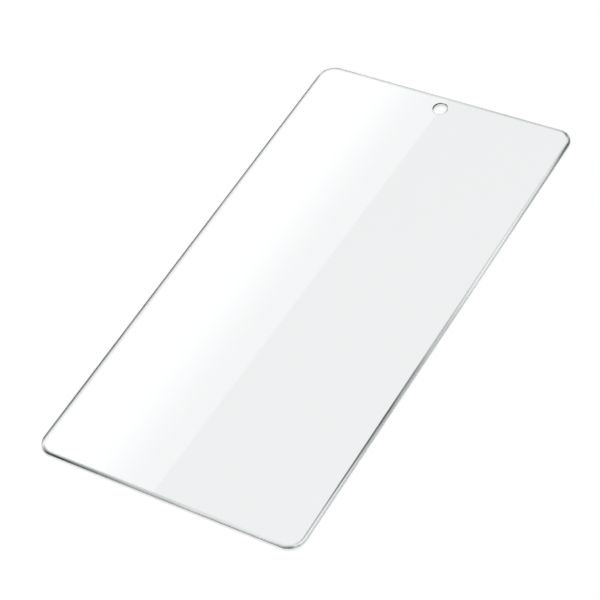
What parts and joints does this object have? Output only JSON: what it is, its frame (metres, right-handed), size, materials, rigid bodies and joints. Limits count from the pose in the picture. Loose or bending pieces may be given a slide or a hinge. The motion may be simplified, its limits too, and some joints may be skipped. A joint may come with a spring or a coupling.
{
  "type": "phone screen protector",
  "caption": "Flat clear toughened glass sheet with rounded corners, an edge ground to an arc on the outer face and a round front-camera hole, laid over a phone's screen to guard it.",
  "frame": {"origin": "middle of the underside, the face that lies on the screen", "axes": "+Y along the sheet's length towards the end with the camera hole, +Z out of the outer face, +X across the width"},
  "size_m": [0.0724, 0.1344, 0.0005],
  "materials": {
    "clear_glass": "clear polished toughened glass, faintly green-grey at the ground edge"
  },
  "bodies": {
    "root": {"glass_sheet": "clear_glass"}
  },
  "joints": []
}
